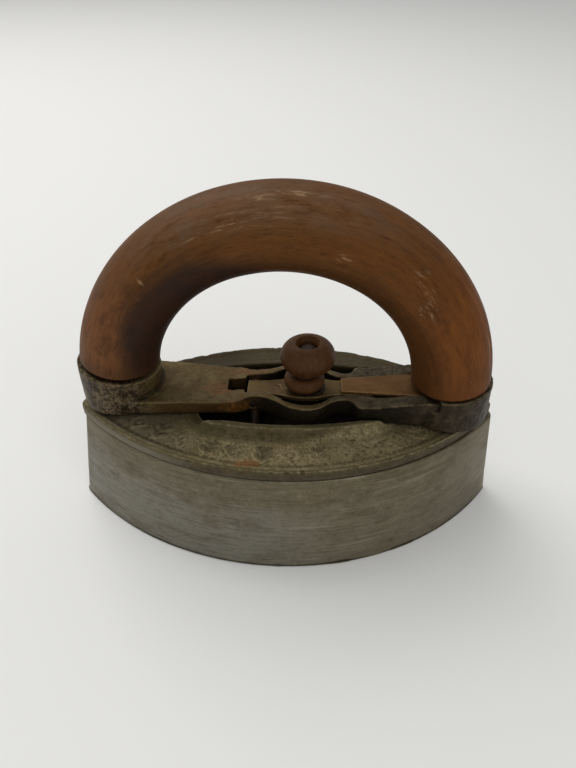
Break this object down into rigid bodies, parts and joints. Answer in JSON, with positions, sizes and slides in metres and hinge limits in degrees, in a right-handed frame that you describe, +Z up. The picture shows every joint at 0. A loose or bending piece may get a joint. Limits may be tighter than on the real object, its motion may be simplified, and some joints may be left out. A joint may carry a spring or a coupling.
{
  "type": "clothes iron",
  "caption": "Double-pointed cast-iron flat iron with a lift-off wooden bow handle, held by a sprung latch that a turned knob releases.",
  "frame": {"origin": "centre of the sole's bounding box, on the sole's flat face", "axes": "+X along the iron towards its right point, +Y across it towards the back, +Z up"},
  "size_m": [0.1638, 0.0812, 0.1294],
  "materials": {
    "ground_iron": "satin, brushed along the iron",
    "cap_iron": "rough cast, tarnished",
    "frame_iron": "dark tarnished casting",
    "lever_steel": "dull brown strip",
    "spring_steel": "coppery brown strip",
    "dark_steel": "dark oxidised",
    "bow_wood": "worn stain",
    "knob_wood": "dark turned wood",
    "plaster": "matt filling"
  },
  "bodies": {
    "base": {"iron_body": "ground_iron", "insulating_fill": "plaster", "top_cap": "cap_iron", "catch_bar": "dark_steel", "cap_screws": "dark_steel"},
    "handle": {"handle_frame": "frame_iron", "handle_bow": "bow_wood", "handle_screws": "dark_steel", "leaf_spring": "spring_steel", "pivot_pin": "dark_steel", "pivot_washers": "dark_steel"},
    "latch": {"latch_lever": "lever_steel", "latch_hook": "lever_steel", "hook_rivets": "dark_steel", "knob_washer": "dark_steel", "knob": "knob_wood", "knob_stud": "dark_steel", "knob_burr": "dark_steel", "knob_nut": "dark_steel"}
  },
  "joints": [
    {"name": "handle_lift", "type": "slide", "parent": "base", "child": "handle", "axis": [0, 0, 1], "range_m": [0, 0.06]},
    {"name": "latch", "type": "hinge", "parent": "handle", "child": "latch", "pos_m": [-0.01372, 0.00077, 0.0496], "axis": [-0.0698, -0.9976, 0], "range_deg": [-3.4, 11], "stiffness_Nm_per_rad": 1.2, "deforming": ["leaf_spring"]}
  ]
}
